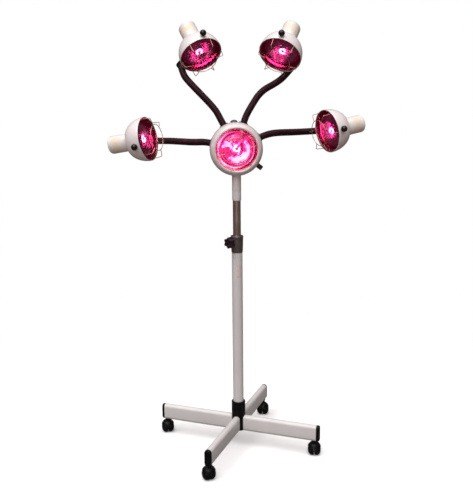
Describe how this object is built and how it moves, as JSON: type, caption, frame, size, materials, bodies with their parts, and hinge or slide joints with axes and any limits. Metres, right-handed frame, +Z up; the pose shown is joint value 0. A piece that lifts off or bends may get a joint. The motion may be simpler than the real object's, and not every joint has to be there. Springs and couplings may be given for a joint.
{
  "type": "infrared heat lamp stand",
  "caption": "Multi-head infrared heat lamp: a round central lamp and gooseneck bell lamps on a telescopic mast with a cross base on casters.",
  "frame": {"origin": "the mast's axis at floor level", "axes": "+Z up; -Y is the way the central lamp faces; +X to the right of a person facing the lamp"},
  "size_m": [0.9072, 0.5838, 1.5286],
  "materials": {
    "white_paint": "satin powder coat",
    "black_plastic": "satin moulded",
    "cast_grey": "die-cast, dull",
    "bright_steel": "zinc plated",
    "chrome": "polished",
    "bush_plastic": "acetal",
    "reflector": "bright spun",
    "gooseneck": "black sleeve over a coiled steel core",
    "caster_tread": "nylon",
    "hood_white": "white powder coat",
    "cover_white": "satin white",
    "red_glass": "ruby reflector lamp",
    "porcelain": "glazed porcelain",
    "guard_wire": "passivated wire",
    "ball_black": "polished phenolic"
  },
  "bodies": {
    "base": {"legs": "white_paint", "leg_end_caps": "black_plastic", "base_hub": "black_plastic", "lower_tube": "white_paint", "mast_bush": "bush_plastic", "clamp_collar": "cast_grey"},
    "clamp": {"clamp_knob": "black_plastic", "clamp_screw": "bright_steel"},
    "mast": {"mast_tube": "chrome", "mast_sleeve": "white_paint"},
    "lamp": {"dome_rear": "white_paint", "dome_bezel": "white_paint", "dome_reflector": "reflector", "dome_bulb": "red_glass", "dome_lampholder": "porcelain", "dome_guard": "guard_wire", "port_plug": "black_plastic", "cord_gland": "black_plastic", "arm_nuts": "black_plastic", "arm_roots": "gooseneck"},
    "power_switch": {"power_knob": "black_plastic"},
    "arm_upper_left": {"arm_upper_left": "gooseneck"},
    "head_upper_left": {"hood_upper_left": "hood_white", "socket_cover_upper_left": "cover_white", "bulb_upper_left": "red_glass", "lampholder_upper_left": "porcelain", "guard_upper_left": "guard_wire", "ball_knob_upper_left": "ball_black"},
    "arm_upper_right": {"arm_upper_right": "gooseneck"},
    "head_upper_right": {"hood_upper_right": "hood_white", "socket_cover_upper_right": "cover_white", "bulb_upper_right": "red_glass", "lampholder_upper_right": "porcelain", "guard_upper_right": "guard_wire", "ball_knob_upper_right": "ball_black"},
    "arm_side_left": {"arm_side_left": "gooseneck"},
    "head_side_left": {"hood_side_left": "hood_white", "socket_cover_side_left": "cover_white", "bulb_side_left": "red_glass", "lampholder_side_left": "porcelain", "guard_side_left": "guard_wire", "ball_knob_side_left": "ball_black"},
    "arm_side_right": {"arm_side_right": "gooseneck"},
    "head_side_right": {"hood_side_right": "hood_white", "socket_cover_side_right": "cover_white", "bulb_side_right": "red_glass", "lampholder_side_right": "porcelain", "guard_side_right": "guard_wire", "ball_knob_side_right": "ball_black"},
    "caster_rear": {"caster_fork_rear": "black_plastic"},
    "wheels_rear": {"caster_wheels_rear": "caster_tread"},
    "caster_left": {"caster_fork_left": "black_plastic"},
    "wheels_left": {"caster_wheels_left": "caster_tread"},
    "caster_front": {"caster_fork_front": "black_plastic"},
    "wheels_front": {"caster_wheels_front": "caster_tread"},
    "caster_right": {"caster_fork_right": "black_plastic"},
    "wheels_right": {"caster_wheels_right": "caster_tread"}
  },
  "joints": [
    {"name": "mast_height", "type": "slide", "parent": "base", "child": "mast", "axis": [0, 0, 1], "range_m": [-0.12, 0.25]},
    {"name": "lamp_swivel", "type": "hinge", "parent": "mast", "child": "lamp", "pos_m": [0, 0, 0.9487], "axis": [0, 0, 1], "range_deg": [-170, 170]},
    {"name": "clamp_turn", "type": "hinge", "parent": "base", "child": "clamp", "pos_m": [-0.02007, -0.02229, 0.771], "axis": [-0.6691, -0.7431, 0], "range_deg": [0, 360]},
    {"name": "power_turn", "type": "hinge", "parent": "lamp", "child": "power_switch", "pos_m": [0.07486, 0.012, 1.03451], "axis": [0.788, 0, -0.6157], "range_deg": [0, 270]},
    {"name": "bend_upper_left", "type": "hinge", "parent": "lamp", "child": "arm_upper_left", "pos_m": [-0.1, 0.0445, 1.257], "axis": [0.107, 0.9881, -0.1107], "range_deg": [-25, 10]},
    {"name": "tilt_upper_left", "type": "hinge", "parent": "arm_upper_left", "child": "head_upper_left", "pos_m": [-0.19561, 0.16469, 1.37892], "axis": [-0.6481, 0.3589, -0.6716], "range_deg": [-40, 40]},
    {"name": "bend_upper_right", "type": "hinge", "parent": "lamp", "child": "arm_upper_right", "pos_m": [0.0685, 0.051, 1.2585], "axis": [-0.1655, 0.9538, -0.2506], "range_deg": [-10, 25]},
    {"name": "tilt_upper_right", "type": "hinge", "parent": "arm_upper_right", "child": "head_upper_right", "pos_m": [0.20464, 0.15866, 1.37073], "axis": [0.3929, 0.5647, -0.7258], "range_deg": [-40, 40]},
    {"name": "bend_side_left", "type": "hinge", "parent": "lamp", "child": "arm_side_left", "pos_m": [-0.188, 0.0735, 1.114], "axis": [0.4921, 0.8704, -0.013], "range_deg": [-20, 20]},
    {"name": "tilt_side_left", "type": "hinge", "parent": "arm_side_left", "child": "head_side_left", "pos_m": [-0.31423, 0.12125, 1.11477], "axis": [0.3425, 0.937, -0.0687], "range_deg": [-40, 40]},
    {"name": "bend_side_right", "type": "hinge", "parent": "lamp", "child": "arm_side_right", "pos_m": [0.1745, 0.089, 1.142], "axis": [-0.7102, 0.703, 0.0369], "range_deg": [-20, 20]},
    {"name": "tilt_side_right", "type": "hinge", "parent": "arm_side_right", "child": "head_side_right", "pos_m": [0.32132, 0.18578, 1.14115], "axis": [-0.4272, 0.8961, -0.1203], "range_deg": [-40, 40]},
    {"name": "swivel_rear", "type": "hinge", "parent": "base", "child": "caster_rear", "pos_m": [0.09979, 0.27122, 0.055], "axis": [0, 0, 1], "continuous": true},
    {"name": "roll_rear", "type": "hinge", "parent": "caster_rear", "child": "wheels_rear", "pos_m": [0.09854, 0.26231, 0.021], "axis": [0.9903, -0.1392, 0], "continuous": true},
    {"name": "swivel_left", "type": "hinge", "parent": "base", "child": "caster_left", "pos_m": [-0.27122, 0.09979, 0.055], "axis": [0, 0, 1], "continuous": true},
    {"name": "roll_left", "type": "hinge", "parent": "caster_left", "child": "wheels_left", "pos_m": [-0.2731, 0.10859, 0.021], "axis": [-0.9781, -0.2079, 0], "continuous": true},
    {"name": "swivel_front", "type": "hinge", "parent": "base", "child": "caster_front", "pos_m": [-0.09979, -0.27122, 0.055], "axis": [0, 0, 1], "continuous": true},
    {"name": "roll_front", "type": "hinge", "parent": "caster_front", "child": "wheels_front", "pos_m": [-0.10316, -0.26288, 0.021], "axis": [-0.9272, -0.3746, 0], "continuous": true},
    {"name": "swivel_right", "type": "hinge", "parent": "base", "child": "caster_right", "pos_m": [0.27122, -0.09979, 0.055], "axis": [0, 0, 1], "continuous": true},
    {"name": "roll_right", "type": "hinge", "parent": "caster_right", "child": "wheels_right", "pos_m": [0.27216, -0.09084, 0.021], "axis": [-0.9945, 0.1045, 0], "continuous": true}
  ]
}
